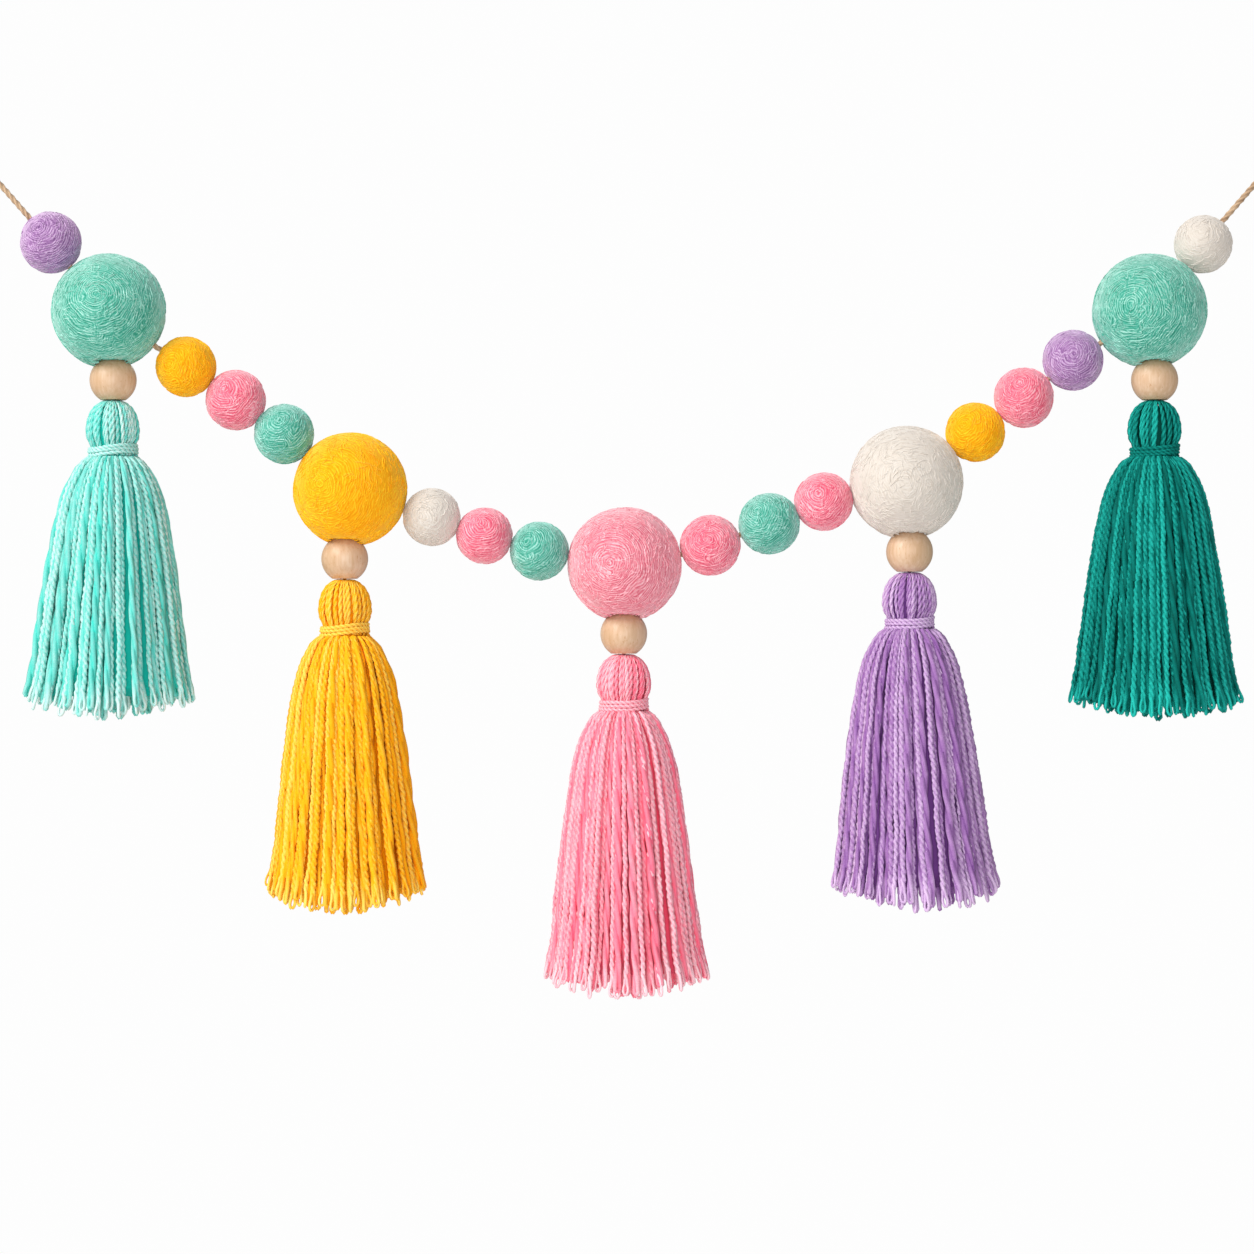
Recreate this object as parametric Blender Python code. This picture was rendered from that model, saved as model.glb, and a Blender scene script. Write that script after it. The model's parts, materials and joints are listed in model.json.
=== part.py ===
# Garland of felt balls threaded on jute twine, with a wooden bead and a yarn tassel under each large ball.
# It hangs in a shallow curve from two nails. Metres, +Z up, +X to the right, +Y away from the viewer.
# The origin is the point where the left hanging loop bears on its nail.

import math

import bmesh
import bpy
import numpy as np
from mathutils import Vector

MM = 0.001
CLEARANCE = 0.3 * MM  # between pieces that touch on the real garland

HALF_SPAN = 231.5 * MM  # from the middle of the garland to each nail
TWINE_DIAMETER = 2.1 * MM
TWINE_POINTS = 79
BEAD_DIAMETER = 16.0 * MM
BEAD_HEIGHT = 13.6 * MM
BEAD_BORE = 3.2 * MM
BEAD_DROP = 23.7 * MM  # from the middle of a large ball to the middle of its bead, which presses into the felt
BEAD_SEGMENTS, BEAD_RINGS = 14, 6
TIE_DIAMETER = 2.4 * MM
TIE_SEGMENTS = 6

HEAD_HEIGHT = 14.5 * MM
WRAP_HEIGHT = 5.0 * MM
WRAP_SEGMENTS = 16
RIB_DEPTH = 0.45 * MM  # the yarn of the head stands this far above and below its mean radius

# Outline of a skirt: a quick shoulder under the wrap, then a slow flare that opens up at the tips.
SHOULDER_START = 8.6 * MM
SHOULDER_WIDTH = 9.2 * MM
SHOULDER_DEPTH = 8.5 * MM
FLARE_SLOPE = 0.085
TIP_FLARE = 3.0 * MM
LEAN_POWER = 1.5

# Strands of a skirt. Depths are below the wrap, and a trim is how far a strand ends above the longest tip.
OUTER_STRANDS = 28
OUTER_WIDTH = 3.4 * MM
OUTER_GAP = 0.6 * MM
OUTER_FILL = 0.88  # share of the room round the skirt that the strands may take
OUTER_INSET = 1.4 * MM  # from the outline to the middle of a strand
OUTER_DEPTHS = (4.0 * MM, 13.0 * MM)
OUTER_MIDDLE = 0.48  # of the skirt
OUTER_TRIM = (3.0 * MM, 7.0 * MM)
OUTER_TIP_SPREAD = (0.96, 1.03)
OUTER_STRAY = 0.06  # of the step from one strand to the next
INNER_WIDTH = 2.6 * MM
INNER_ROOT_WIDTH = 1.56 * MM
INNER_DEPTH = 14.0 * MM
INNER_TRIM = (0.0, 2.5 * MM)
INNER_SHARES = (0.38, 0.70)  # of the outline's radius
STRAND_THICKNESS = 0.4  # of its width, each way from its middle
RIDGE_THICKNESS = 1.4  # how much deeper the inner edge of a three-sided strand is

LOOP_LENGTH = 20.0 * MM  # from the nail to the middle of the knot
LOOP_WIDTH = 8.0 * MM
KNOT_LENGTH = 6.4 * MM
LOOP_STEPS, LOOP_SEGMENTS, KNOT_SEGMENTS = 18, 6, 10
EYE_SHOULDER, EYE_TAPER = 1.25, 0.6  # the eye is widest near the nail and narrows to the knot

LARGE_SEGMENTS, LARGE_RINGS = 16, 9
SMALL_SEGMENTS, SMALL_RINGS = 12, 7
LARGE_FROM = 30.0 * MM  # a ball of this diameter or more counts as large

# Felt balls in threading order. Sizes and places in mm: across is from the middle, drop is below the nails.
BALL_COLUMNS = ("name", "felt", "diameter", "across", "drop")
BALLS = (
    ("ball_01_lilac", "lilac_felt", 20.2, -197.0, 39.5),
    ("ball_02_mint_large", "mint_felt", 38.2, -177.2, 62.9),
    ("ball_03_yellow", "yellow_felt", 19.8, -150.8, 82.0),
    ("ball_04_pink", "pink_felt", 19.8, -133.8, 93.4),
    ("ball_05_teal", "teal_felt", 19.8, -117.2, 105.0),
    ("ball_06_yellow_large", "yellow_felt", 38.2, -94.6, 124.0),
    ("ball_07_white", "white_felt", 19.0, -66.8, 133.4),
    ("ball_08_pink", "pink_felt", 18.6, -48.7, 139.8),
    ("ball_09_teal", "teal_felt", 19.4, -30.0, 145.0),
    ("ball_10_rose_large", "rose_felt", 38.2, -0.8, 149.6),
    ("ball_11_pink", "pink_felt", 20.0, 28.5, 143.1),
    ("ball_12_teal", "teal_felt", 20.2, 48.6, 135.7),
    ("ball_13_pink", "pink_felt", 19.2, 67.3, 128.1),
    ("ball_14_white_large", "white_felt", 38.0, 95.6, 121.6),
    ("ball_15_yellow", "yellow_felt", 19.6, 119.1, 104.4),
    ("ball_16_pink", "pink_felt", 19.8, 135.7, 92.5),
    ("ball_17_lilac", "lilac_felt", 20.0, 152.5, 79.8),
    ("ball_18_mint_large", "mint_felt", 38.2, 178.7, 62.9),
    ("ball_19_white", "white_felt", 19.0, 197.0, 40.1),
)

# Tassels from left to right. Lengths in mm: offset is from the ball's middle to the tassel's, skirt is the length
# under the wrap, spread scales its width, and lean is how far the tips swing to the right.
TASSEL_COLUMNS = ("name", "yarn", "ball", "offset", "skirt", "spread", "lean", "seed")
TASSELS = (
    ("1_mint", "mint_yarn", "ball_02_mint_large", 1.5, 90.0, 1.02, -0.9, 11),
    ("2_yellow", "yellow_yarn", "ball_06_yellow_large", -1.9, 94.5, 0.97, 0.9, 12),
    ("3_pink", "pink_yarn", "ball_10_rose_large", -0.3, 97.5, 1.00, 1.2, 13),
    ("4_purple", "purple_yarn", "ball_14_white_large", 1.0, 96.0, 1.01, 2.9, 14),
    ("5_green", "green_yarn", "ball_18_mint_large", 1.7, 90.3, 1.02, 0.8, 15),
)

# Outline of a tassel's head in mm: height above the bottom of the wrap, radius, and whether its yarn is raised.
HEAD_COLUMNS = ("height", "radius", "ribbed")
HEAD = (
    (19.5, 3.9, False),
    (17.6, 7.2, True),
    (13.5, 9.1, True),
    (8.5, 9.0, True),
    (5.4, 7.6, False),
    (0.0, 7.5, False),
)
ROOT_DEPTH, ROOT_RADIUS = 1.6 * MM, 8.4 * MM  # lower ring that the outer strands spring from
CORE_DEPTH, CORE_RADIUS = 2.2 * MM, 4.8 * MM  # flat underside that the inner strands spring from

# Three turns of yarn round the neck, in mm: radius and height above the bottom of the wrap.
WRAP_COLUMNS = ("radius", "height")
WRAP = (
    (7.95, 0.35),
    (8.5, 0.35),
    (8.95, 1.2),
    (8.55, 1.95),
    (8.95, 2.65),
    (8.55, 3.4),
    (8.95, 4.1),
    (8.5, 4.9),
    (7.95, 4.9),
)

# Knot under a hanging loop, in mm: distance along the twine from its middle, and radius of its two turns.
KNOT_COLUMNS = ("along", "radius")
KNOT = ((-3.2, 1.3), (-1.7, 2.6), (0.0, 2.2), (1.7, 2.6), (3.2, 1.3))

# Colours as sRGB hex, with the roughness of each finish.
MATERIALS = {
    "lilac_felt": ("b58abb", 0.95),
    "mint_felt": ("68c2ad", 0.95),
    "yellow_felt": ("fab913", 0.95),
    "pink_felt": ("f48a9d", 0.95),
    "rose_felt": ("f4a0ad", 0.95),
    "teal_felt": ("6abfaf", 0.95),
    "white_felt": ("e9dfd3", 0.95),
    "mint_yarn": ("93e3d7", 0.85),
    "yellow_yarn": ("ffb73a", 0.85),
    "pink_yarn": ("f78ea5", 0.85),
    "purple_yarn": ("ab82bb", 0.85),
    "green_yarn": ("0f9c87", 0.85),
    "beech": ("e2c09d", 0.5),
    "jute": ("c69b72", 0.9),
}


def rows(columns, table):
    return [dict(zip(columns, row)) for row in table]


def linear(hex_colour):
    channels = [int(hex_colour[i:i + 2], 16) / 255 for i in (0, 2, 4)]
    return [c / 12.92 if c <= 0.04045 else ((c + 0.055) / 1.055) ** 2.4 for c in channels]


def material(name):
    made = bpy.data.materials.get(name)
    if made is None:
        colour, roughness = MATERIALS[name]
        made = bpy.data.materials.new(name)
        made.use_nodes = True
        shader = made.node_tree.nodes["Principled BSDF"]
        shader.inputs["Base Color"].default_value = (*linear(colour), 1.0)
        shader.inputs["Roughness"].default_value = roughness
        shader.inputs["Metallic"].default_value = 0.0
    return made


def place(across, drop):
    """A place on the garland, from mm across from its middle and mm below the nails."""
    return Vector((HALF_SPAN + across * MM, 0.0, -drop * MM))


def add_object(name, mesh, material_name=None, location=(0, 0, 0)):
    made = bpy.data.objects.new(name, mesh)
    made.location = location
    bpy.context.scene.collection.objects.link(made)
    if material_name is None:
        made.hide_render = True
        made.display_type = "WIRE"
    else:
        mesh.materials.append(material(material_name))
    return made


def finished_mesh(name, bm, smooth=True):
    bmesh.ops.recalc_face_normals(bm, faces=bm.faces)
    mesh = bpy.data.meshes.new(name)
    bm.to_mesh(mesh)
    bm.free()
    if smooth:
        mesh.shade_smooth()
        mesh.set_sharp_from_angle(angle=math.radians(50))
    return mesh


def add_ring(bm, points):
    return [bm.verts.new(point) for point in points]


def bridge(bm, first, second):
    count = len(first)
    for i in range(count):
        j = (i + 1) % count
        bm.faces.new((first[i], first[j], second[j], second[i]))


def loft(bm, rings, closed=False):
    """Joins rings of equal counts in turn, and either meets itself again or gets a cap at each end."""
    made = [add_ring(bm, ring) for ring in rings]
    for first, second in zip(made, made[1:]):
        bridge(bm, first, second)
    if closed:
        bridge(bm, made[-1], made[0])
    else:
        bm.faces.new(made[0])
        bm.faces.new(made[-1])


def circle(centre, side, other, radius, count, phase=0.0):
    """Points on a circle in the plane of two unit directions."""
    turns = [2 * math.pi * (i + phase) / count for i in range(count)]
    return [centre + radius * (math.cos(t) * side + math.sin(t) * other) for t in turns]


def turned_rings(outline, count):
    """Rings round the Z axis for an outline of radius and height."""
    side, other = Vector((1, 0, 0)), Vector((0, 1, 0))
    return [circle(Vector((0, 0, height)), side, other, radius, count) for radius, height in outline]


def smooth_route(stops, count):
    """Points at even spacing on a smooth curve through the stops, with straight ends."""
    stops = np.array([tuple(stop) for stop in stops])
    knots = np.concatenate([[0.0], np.cumsum(np.linalg.norm(np.diff(stops, axis=0), axis=1))])
    slopes = np.gradient(stops, knots, axis=0)
    fine = []
    for i in range(len(stops) - 1):
        span = knots[i + 1] - knots[i]
        for u in np.linspace(0, 1, 40, endpoint=False):
            start = (1 + 2 * u) * (1 - u) ** 2 * stops[i] + u * (1 - u) ** 2 * span * slopes[i]
            end = u * u * (3 - 2 * u) * stops[i + 1] + u * u * (u - 1) * span * slopes[i + 1]
            fine.append(start + end)
    fine.append(stops[-1])
    fine = np.array(fine)
    lengths = np.concatenate([[0.0], np.cumsum(np.linalg.norm(np.diff(fine, axis=0), axis=1))])
    even = np.linspace(0, lengths[-1], count)
    return [Vector([np.interp(at, lengths, fine[:, axis]) for axis in range(3)]) for at in even]


def tube_curve(name, points, radius, bevel_resolution):
    curve = bpy.data.curves.new(name, "CURVE")
    curve.dimensions = "3D"
    curve.bevel_depth = radius
    curve.bevel_resolution = bevel_resolution
    curve.use_fill_caps = True
    spline = curve.splines.new("POLY")
    spline.points.add(len(points) - 1)
    for at, point in zip(spline.points, points):
        at.co = (*point, 1.0)
    return curve


def make_twine(balls, nails):
    """The twine from knot to knot through every ball, and the cutter that bores the balls."""
    centres = [place(ball["across"], ball["drop"]) for ball in balls]
    ends = []
    for nail, neighbour in zip(nails, (centres[0], centres[-1])):
        inward = (neighbour - nail).normalized()
        ends.append(nail + inward * (LOOP_LENGTH + KNOT_LENGTH / 2 + CLEARANCE))
    route = smooth_route([ends[0], *centres, ends[1]], TWINE_POINTS)
    curve = tube_curve("twine", route, TWINE_DIAMETER / 2, 2)
    add_object("twine", curve, "jute")
    # Six flats of the cutter touch a circle that clears the twine all round.
    bore_radius = (TWINE_DIAMETER / 2 + CLEARANCE) / math.cos(math.pi / 6)
    guide = add_object("bore_guide", tube_curve("bore_guide", route, bore_radius, 1))
    bpy.context.view_layer.update()
    evaluated = guide.evaluated_get(bpy.context.evaluated_depsgraph_get())
    bm = bmesh.new()
    bm.from_mesh(bpy.data.meshes.new_from_object(evaluated))
    bmesh.ops.remove_doubles(bm, verts=bm.verts, dist=0.01 * MM)
    return route, add_object("twine_bore_cutter", finished_mesh("twine_bore_cutter", bm, smooth=False))


def cut(target, cutter):
    modifier = target.modifiers.new("cut_" + cutter.name, "BOOLEAN")
    modifier.operation = "DIFFERENCE"
    modifier.object = cutter


def bead_outline(radius, half_height):
    """Outer outline of a ball with its top and bottom cut flat."""
    limit = math.asin(half_height / radius)
    angles = [limit - 2 * limit * i / (BEAD_RINGS - 1) for i in range(BEAD_RINGS)]
    return [(radius * math.cos(a), radius * math.sin(a)) for a in angles]


def make_ball(ball, twine_cutter):
    diameter = ball["diameter"] * MM
    large = diameter >= LARGE_FROM
    bm = bmesh.new()
    bmesh.ops.create_uvsphere(
        bm,
        u_segments=LARGE_SEGMENTS if large else SMALL_SEGMENTS,
        v_segments=LARGE_RINGS if large else SMALL_RINGS,
        radius=diameter / 2,
    )
    mesh = finished_mesh(ball["name"], bm)
    made = add_object(ball["name"], mesh, ball["felt"], place(ball["across"], ball["drop"]))
    cut(made, twine_cutter)
    return made


def make_bead(name, centre):
    half = BEAD_HEIGHT / 2
    outer = bead_outline(BEAD_DIAMETER / 2, half)
    outline = [(BEAD_BORE / 2, half), *outer, (BEAD_BORE / 2, -half)]
    bm = bmesh.new()
    loft(bm, turned_rings(outline, BEAD_SEGMENTS), closed=True)
    return add_object(name, finished_mesh(name, bm), "beech", centre)


def make_seat_cutter(name, bead_centre, tie_top):
    """Shape of the bead and of its tie, a little larger, that presses into the felt of a large ball."""
    top = tie_top + CLEARANCE - bead_centre.z
    half = BEAD_HEIGHT / 2 + CLEARANCE
    bore = TIE_DIAMETER / 2 + CLEARANCE
    outer = bead_outline(BEAD_DIAMETER / 2 + CLEARANCE, half)
    bm = bmesh.new()
    loft(bm, turned_rings([(bore, top), (bore, half), *outer], BEAD_SEGMENTS))
    return add_object(name, finished_mesh(name, bm, smooth=False), None, bead_centre)


def tie_top_height(route, across):
    """Highest flat top of a tie under the sloping twine at this place."""
    xs = [point.x for point in route]
    zs = [point.z for point in route]
    span = TIE_DIAMETER / 2
    slope = (np.interp(across + span, xs, zs) - np.interp(across - span, xs, zs)) / (2 * span)
    under = (TWINE_DIAMETER / 2 + 1.5 * CLEARANCE) * math.hypot(1.0, slope)
    return float(np.interp(across, xs, zs)) - under - span * abs(slope)


def make_tie(name, yarn, x, low, high):
    bm = bmesh.new()
    radius = TIE_DIAMETER / 2
    loft(bm, turned_rings([(radius, low), (radius, high)], TIE_SEGMENTS))
    return add_object(name, finished_mesh(name, bm), yarn, (x, 0, 0))


def skirt_radius(depth, spread, skirt):
    """Outer radius of the skirt at a depth under the wrap."""
    shoulder = SHOULDER_WIDTH * (1 - math.exp(-depth / SHOULDER_DEPTH))
    flare = FLARE_SLOPE * depth + TIP_FLARE * (depth / skirt) ** 4
    return SHOULDER_START + (shoulder + flare) * spread


def strand_section(tassel, angle, radius, depth, width, sides):
    """Points across one strand at a depth under the wrap: its outer side is flat and faces away from the middle."""
    shift = tassel["lean"] * MM * (depth / (tassel["skirt"] * MM)) ** LEAN_POWER
    outward = Vector((math.cos(angle), math.sin(angle), 0))
    along = Vector((-math.sin(angle), math.cos(angle), 0))
    centre = outward * radius + Vector((shift, 0, -depth))
    half, thick = width / 2, width * STRAND_THICKNESS
    outer = [centre + outward * thick - along * half, centre + outward * thick + along * half]
    if sides == 3:
        return [*outer, centre - outward * thick * RIDGE_THICKNESS]
    return [*outer, centre - outward * thick + along * half, centre - outward * thick - along * half]


def grow_strand(bm, root, sections):
    last = root
    for section in sections:
        ring = add_ring(bm, section)
        bridge(bm, last, ring)
        last = ring
    bm.faces.new(last)


def outer_strand(tassel, angle, rng):
    skirt, spread = tassel["skirt"] * MM, tassel["spread"]
    end = skirt - rng.uniform(*OUTER_TRIM)
    tip = rng.uniform(*OUTER_TIP_SPREAD)
    step = 2 * math.pi / OUTER_STRANDS
    sections = []
    for depth in (*OUTER_DEPTHS, OUTER_MIDDLE * skirt, end):
        share = depth / skirt
        radius = (skirt_radius(depth, spread, skirt) - OUTER_INSET) * (1 + (tip - 1) * share)
        turn = angle + rng.uniform(-OUTER_STRAY, OUTER_STRAY) * share * step
        width = min(OUTER_WIDTH, step * radius * OUTER_FILL - OUTER_GAP)
        sections.append(strand_section(tassel, turn, radius, depth, width, 3))
    return sections


def inner_strand(tassel, angle, share, rng):
    skirt, spread = tassel["skirt"] * MM, tassel["spread"]
    end = skirt - rng.uniform(*INNER_TRIM)
    sections = []
    for depth, width in ((INNER_DEPTH, INNER_ROOT_WIDTH), (end, INNER_WIDTH)):
        radius = share * skirt_radius(depth, spread, skirt)
        sections.append(strand_section(tassel, angle, radius, depth, width, 4))
    return sections


def make_tassel(tassel, wrap_bottom, x):
    """Ribbed head, neck and strands as one closed skin. The strands grow out of faces under the neck."""
    rng = np.random.default_rng(tassel["seed"])
    count = OUTER_STRANDS
    side, other = Vector((1, 0, 0)), Vector((0, 1, 0))
    bm = bmesh.new()
    rings = []
    for row in rows(HEAD_COLUMNS, HEAD):
        ring = circle(Vector((0, 0, row["height"] * MM)), side, other, row["radius"] * MM, count)
        if row["ribbed"]:
            for i, point in enumerate(ring):
                grow = RIB_DEPTH * (1 if i % 2 else -1)
                point.xy += point.xy.normalized() * grow
        rings.append(add_ring(bm, ring))
    bm.faces.new(rings[0])
    for first, second in zip(rings, rings[1:]):
        bridge(bm, first, second)
    neck = rings[-1]
    root = add_ring(bm, circle(Vector((0, 0, -ROOT_DEPTH)), side, other, ROOT_RADIUS, count, 0.5))
    core = add_ring(bm, circle(Vector((0, 0, -CORE_DEPTH)), side, other, CORE_RADIUS, count, 0.5))
    bm.faces.new(core)
    for i in range(count):
        j = (i + 1) % count
        angle = 2 * math.pi * (i + 0.5) / count
        # The neck ring and the root ring are half a step apart, so the band between them is made of triangles.
        bm.faces.new((neck[j], root[i], root[j]))
        grow_strand(bm, (neck[i], neck[j], root[i]), outer_strand(tassel, angle, rng))
        if i % 2:
            bm.faces.new((root[i], root[j], core[j], core[i]))
        else:
            share = INNER_SHARES[1 if i % 4 else 0]
            between = angle + math.pi / count
            grow_strand(bm, (root[i], root[j], core[j], core[i]), inner_strand(tassel, between, share, rng))
    name = "tassel_" + tassel["name"]
    return add_object(name, finished_mesh(name, bm), tassel["yarn"], (x, 0, wrap_bottom))


def make_wrap(tassel, wrap_bottom, x):
    name = "wrap_" + tassel["name"]
    outline = [(row["radius"] * MM, row["height"] * MM) for row in rows(WRAP_COLUMNS, WRAP)]
    bm = bmesh.new()
    loft(bm, turned_rings(outline, WRAP_SEGMENTS), closed=True)
    return add_object(name, finished_mesh(name, bm), tassel["yarn"], (x, 0, wrap_bottom))


def make_hanging_loop(name, nail, neighbour):
    """A loop of twine that bears on its nail, closed by a knot."""
    inward = (neighbour - nail).normalized()
    side = Vector((inward.z, 0, -inward.x))
    depth = Vector((0, 1, 0))
    radius = TWINE_DIAMETER / 2
    crown = nail - inward * radius
    length = LOOP_LENGTH + radius
    rings = []
    for i in range(LOOP_STEPS):
        turn = 2 * math.pi * i / LOOP_STEPS
        share = (1 - math.cos(turn)) / 2
        half_width = LOOP_WIDTH / 2 * (EYE_SHOULDER - EYE_TAPER * share)
        centre = crown + inward * length * share + side * half_width * math.sin(turn)
        forward = inward * length * math.sin(turn) / 2 + side * half_width * math.cos(turn)
        rings.append(circle(centre, forward.normalized().cross(depth), depth, radius, LOOP_SEGMENTS))
    bm = bmesh.new()
    loft(bm, rings, closed=True)
    made = add_object(name, finished_mesh(name, bm), "jute")
    middle = nail + inward * LOOP_LENGTH
    bm = bmesh.new()
    rings = []
    for row in rows(KNOT_COLUMNS, KNOT):
        centre = middle + inward * row["along"] * MM
        rings.append(circle(centre, side, depth, row["radius"] * MM, KNOT_SEGMENTS))
    loft(bm, rings)
    lump = add_object(name + "_knot_shape", finished_mesh(name + "_knot_shape", bm))
    union = made.modifiers.new("knot", "BOOLEAN")
    union.operation = "UNION"
    union.object = lump
    return made


def build():
    for old in list(bpy.data.objects):
        bpy.data.objects.remove(old, do_unlink=True)
    balls = rows(BALL_COLUMNS, BALLS)
    nails = (Vector((0, 0, 0)), Vector((2 * HALF_SPAN, 0, 0)))
    route, twine_cutter = make_twine(balls, nails)
    made = {ball["name"]: make_ball(ball, twine_cutter) for ball in balls}
    for tassel in rows(TASSEL_COLUMNS, TASSELS):
        ball = made[tassel["ball"]]
        x = ball.location.x + tassel["offset"] * MM
        bead_centre = Vector((x, 0, ball.location.z - BEAD_DROP))
        tie_top = tie_top_height(route, x)
        cut(ball, make_seat_cutter("seat_cutter_" + tassel["name"], bead_centre, tie_top))
        make_bead("bead_" + tassel["name"], bead_centre)
        head_top = bead_centre.z - BEAD_HEIGHT / 2 - CLEARANCE
        make_tie("tie_" + tassel["name"], tassel["yarn"], x, head_top + CLEARANCE, tie_top)
        wrap_bottom = head_top - HEAD_HEIGHT - WRAP_HEIGHT
        make_tassel(tassel, wrap_bottom, x)
        make_wrap(tassel, wrap_bottom, x)
    centres = [place(ball["across"], ball["drop"]) for ball in balls]
    make_hanging_loop("hanging_loop_left", nails[0], centres[0])
    make_hanging_loop("hanging_loop_right", nails[1], centres[-1])


build()
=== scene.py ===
import json
import math
from functools import partial

import bmesh
import bpy
import numpy as np
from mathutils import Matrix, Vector, noise

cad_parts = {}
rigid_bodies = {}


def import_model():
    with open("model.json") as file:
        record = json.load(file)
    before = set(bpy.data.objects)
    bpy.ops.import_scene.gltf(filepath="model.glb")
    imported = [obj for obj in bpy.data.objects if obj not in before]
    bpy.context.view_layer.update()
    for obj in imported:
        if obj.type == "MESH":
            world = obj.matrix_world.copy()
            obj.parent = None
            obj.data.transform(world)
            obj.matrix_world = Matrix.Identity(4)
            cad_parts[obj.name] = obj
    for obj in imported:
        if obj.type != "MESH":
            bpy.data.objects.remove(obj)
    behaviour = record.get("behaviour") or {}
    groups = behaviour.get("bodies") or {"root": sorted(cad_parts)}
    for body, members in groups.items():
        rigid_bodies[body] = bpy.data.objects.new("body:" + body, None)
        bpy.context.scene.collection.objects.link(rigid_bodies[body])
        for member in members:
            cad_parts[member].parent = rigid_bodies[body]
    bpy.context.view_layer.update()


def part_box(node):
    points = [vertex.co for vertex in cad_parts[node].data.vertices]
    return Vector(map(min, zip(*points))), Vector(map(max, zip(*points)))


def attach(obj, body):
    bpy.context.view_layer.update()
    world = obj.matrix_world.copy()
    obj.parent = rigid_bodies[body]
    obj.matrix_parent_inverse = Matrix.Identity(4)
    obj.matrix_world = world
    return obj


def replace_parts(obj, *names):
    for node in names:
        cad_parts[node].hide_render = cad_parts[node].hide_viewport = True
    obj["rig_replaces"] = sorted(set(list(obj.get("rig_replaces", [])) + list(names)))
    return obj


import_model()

mm = 0.001
fullTurn = 2 * math.pi

# Places repeated from the part's source, in mm: across from the middle of the garland, drop below the nails.
halfSpan = 231.5
feltBalls = (
    ("ball_01_lilac", "lilac", 20.2, -197.0, 39.5),
    ("ball_02_mint_large", "mint", 38.2, -177.2, 62.9),
    ("ball_03_yellow", "yellow", 19.8, -150.8, 82.0),
    ("ball_04_pink", "pink", 19.8, -133.8, 93.4),
    ("ball_05_teal", "teal", 19.8, -117.2, 105.0),
    ("ball_06_yellow_large", "yellow", 38.2, -94.6, 124.0),
    ("ball_07_white", "white", 19.0, -66.8, 133.4),
    ("ball_08_pink", "pink", 18.6, -48.7, 139.8),
    ("ball_09_teal", "teal", 19.4, -30.0, 145.0),
    ("ball_10_rose_large", "rose", 38.2, -0.8, 149.6),
    ("ball_11_pink", "pink", 20.0, 28.5, 143.1),
    ("ball_12_teal", "teal", 20.2, 48.6, 135.7),
    ("ball_13_pink", "pink", 19.2, 67.3, 128.1),
    ("ball_14_white_large", "white", 38.0, 95.6, 121.6),
    ("ball_15_yellow", "yellow", 19.6, 119.1, 104.4),
    ("ball_16_pink", "pink", 19.8, 135.7, 92.5),
    ("ball_17_lilac", "lilac", 20.0, 152.5, 79.8),
    ("ball_18_mint_large", "mint", 38.2, 178.7, 62.9),
    ("ball_19_white", "white", 19.0, 197.0, 40.1),
)
# name, yarn, ball, offset, skirt, spread, lean, seed
tassels = (
    ("1_mint", "mint", "ball_02_mint_large", 1.5, 90.0, 1.02, -0.9, 11),
    ("2_yellow", "yellow", "ball_06_yellow_large", -1.9, 94.5, 0.97, 0.9, 12),
    ("3_pink", "pink", "ball_10_rose_large", -0.3, 97.5, 1.00, 1.2, 13),
    ("4_purple", "purple", "ball_14_white_large", 1.0, 96.0, 1.01, 2.9, 14),
    ("5_green", "green", "ball_18_mint_large", 1.7, 90.3, 1.02, 0.8, 15),
)
beadSize = {"diameter": 16.0, "height": 13.6, "bore": 3.2, "drop": 23.7, "edge": 0.35}
gap = 0.3  # mm, left between pieces in the source
headHeight, wrapHeight = 14.5, 5.0


def place(across, drop):
    return Vector((halfSpan + across, 0, -drop)) * mm


def toLinear(hexColour):
    channels = [int(hexColour[i:i + 2], 16) / 255 for i in (0, 2, 4)]
    return [c / 12.92 if c <= 0.04045 else ((c + 0.055) / 1.055) ** 2.4 for c in channels] + [1.0]


# A node stands for its first output.
def outputOf(value):
    return next(s for s in value.outputs if s.enabled) if isinstance(value, bpy.types.Node) else value


# Sets or links inputs by name or number, each to a value, a socket or a node.
def connect(tree, node, inputs):
    for key, value in inputs.items() if isinstance(inputs, dict) else enumerate(inputs):
        sockets = [socket for socket in node.inputs if socket.enabled]
        socket = sockets[key] if isinstance(key, int) else next(s for s in sockets if s.name == key)
        value = outputOf(value)
        if isinstance(value, bpy.types.NodeSocket):
            tree.links.new(value, socket)
        else:
            socket.default_value = value


# One node with its settings. Its kind goes without Blender's prefix, and a capturing node keeps values by name.
def addNode(tree, kind, inputs=(), operation=None, keep=None, **settings):
    prefixes = ("ShaderNode", "GeometryNode", "FunctionNode", "Node")
    node = tree.nodes.new(next(start + kind for start in prefixes if hasattr(bpy.types, start + kind)))
    if operation:
        node.operation = operation
    for setting, value in settings.items():
        setattr(node, setting, value)
    connect(tree, node, inputs)
    for label, value in (keep or {}).items():
        node.capture_items.new("VECTOR" if outputOf(value).type == "VECTOR" else "FLOAT", label)
        connect(tree, node, {label: value})
    return node


# A random value for each name, with a seed of its own. Its limits are numbers or inputs of the tree.
def addDraws(add, given, seedStep, limits):
    draws = {}
    for order, (name, ends) in enumerate(limits.items(), 1):
        low, high = (given[end] if isinstance(end, str) else end for end in ends)
        seed = add("Math", [given["Seed"], seedStep * order], "ADD")
        draws[name] = add("RandomValue", {"Min": low, "Max": high, "Seed": seed})
    return draws


def addTubes(add, curves, sides, radius):
    ring = add("CurvePrimitiveCircle", {"Resolution": sides, "Radius": 1.0})
    return add("CurveToMesh", {"Curve": curves, "Profile Curve": ring, "Scale": radius, "Fill Caps": True})


def newMaterial(name):
    material = bpy.data.materials.new(name)
    material.use_nodes = True
    return material, partial(addNode, material.node_tree)


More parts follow.
